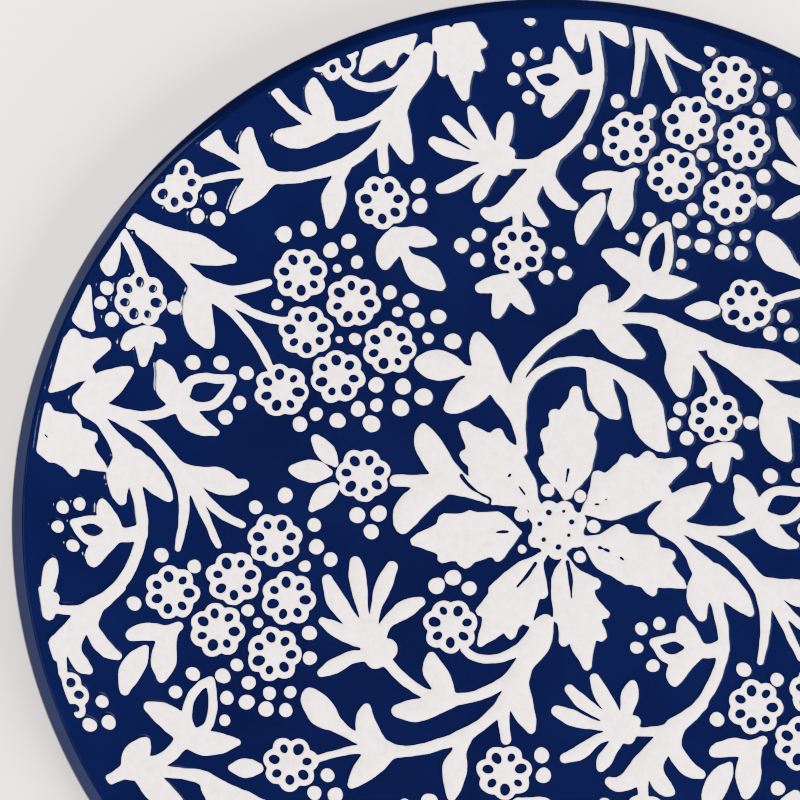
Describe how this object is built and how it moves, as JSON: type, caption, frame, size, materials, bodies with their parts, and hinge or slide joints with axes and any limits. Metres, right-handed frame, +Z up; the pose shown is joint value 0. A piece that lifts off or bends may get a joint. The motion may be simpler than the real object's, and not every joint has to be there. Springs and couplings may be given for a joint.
{
  "type": "dinner plate",
  "caption": "Round coupe-shaped ceramic plate with a curved-up rim, a foot ring and raised white flowers and vines on dark cobalt glaze.",
  "frame": {"origin": "centre of the foot ring, on the resting plane", "axes": "+Z is up, along the plate's axis; -Y points to the edge nearest the viewer; +X points to the viewer's right"},
  "size_m": [0.27, 0.27, 0.0224],
  "materials": {
    "fired_clay": "unglazed fired clay, bare on the foot ring",
    "cobalt_glaze": "smooth glossy dark cobalt glaze",
    "foot_glaze": "the same cobalt glaze inside the foot ring",
    "white_slip": "satin off-white raised slip with fine grain"
  },
  "bodies": {
    "root": {"plate_body": "fired_clay", "cobalt_glaze": "cobalt_glaze", "underside_glaze": "foot_glaze", "bent_sprig": "white_slip", "big_daisy": "white_slip", "dot_01": "white_slip", "dot_02": "white_slip", "dot_03": "white_slip", "dot_04": "white_slip", "dot_05": "white_slip", "dot_06": "white_slip", "dot_07": "white_slip", "dot_08": "white_slip", "dot_09": "white_slip", "dot_10": "white_slip", "dot_11": "white_slip", "dot_12": "white_slip", "flower_centre": "white_slip", "flower_leaf_1": "white_slip", "flower_leaf_2": "white_slip", "flower_leaf_3": "white_slip", "flower_leaf_4": "white_slip", "flower_leaf_5": "white_slip", "flower_leaf_6": "white_slip", "flower_leaf_7": "white_slip", "half_daisy": "white_slip", "left_spray": "white_slip", "loose_leaf": "white_slip", "lower_sprig": "white_slip", "lower_vine": "white_slip", "right_bud": "white_slip", "right_vine": "white_slip", "rosette_01": "white_slip", "rosette_02": "white_slip", "rosette_03": "white_slip", "rosette_04": "white_slip", "rosette_05": "white_slip", "rosette_06": "white_slip", "rosette_07": "white_slip", "rosette_08": "white_slip", "rosette_09": "white_slip", "rosette_10": "white_slip", "rosette_11": "white_slip", "rosette_12": "white_slip", "rosette_13": "white_slip", "rosette_14": "white_slip", "rosette_leaf": "white_slip", "side_leaf_1": "white_slip", "side_leaf_2": "white_slip", "side_leaf_3": "white_slip", "small_lobe_leaf": "white_slip", "stem_bud": "white_slip", "three_lobe_leaf": "white_slip", "upper_bud": "white_slip", "upper_sprig": "white_slip", "upper_vine": "white_slip"}
  },
  "joints": []
}
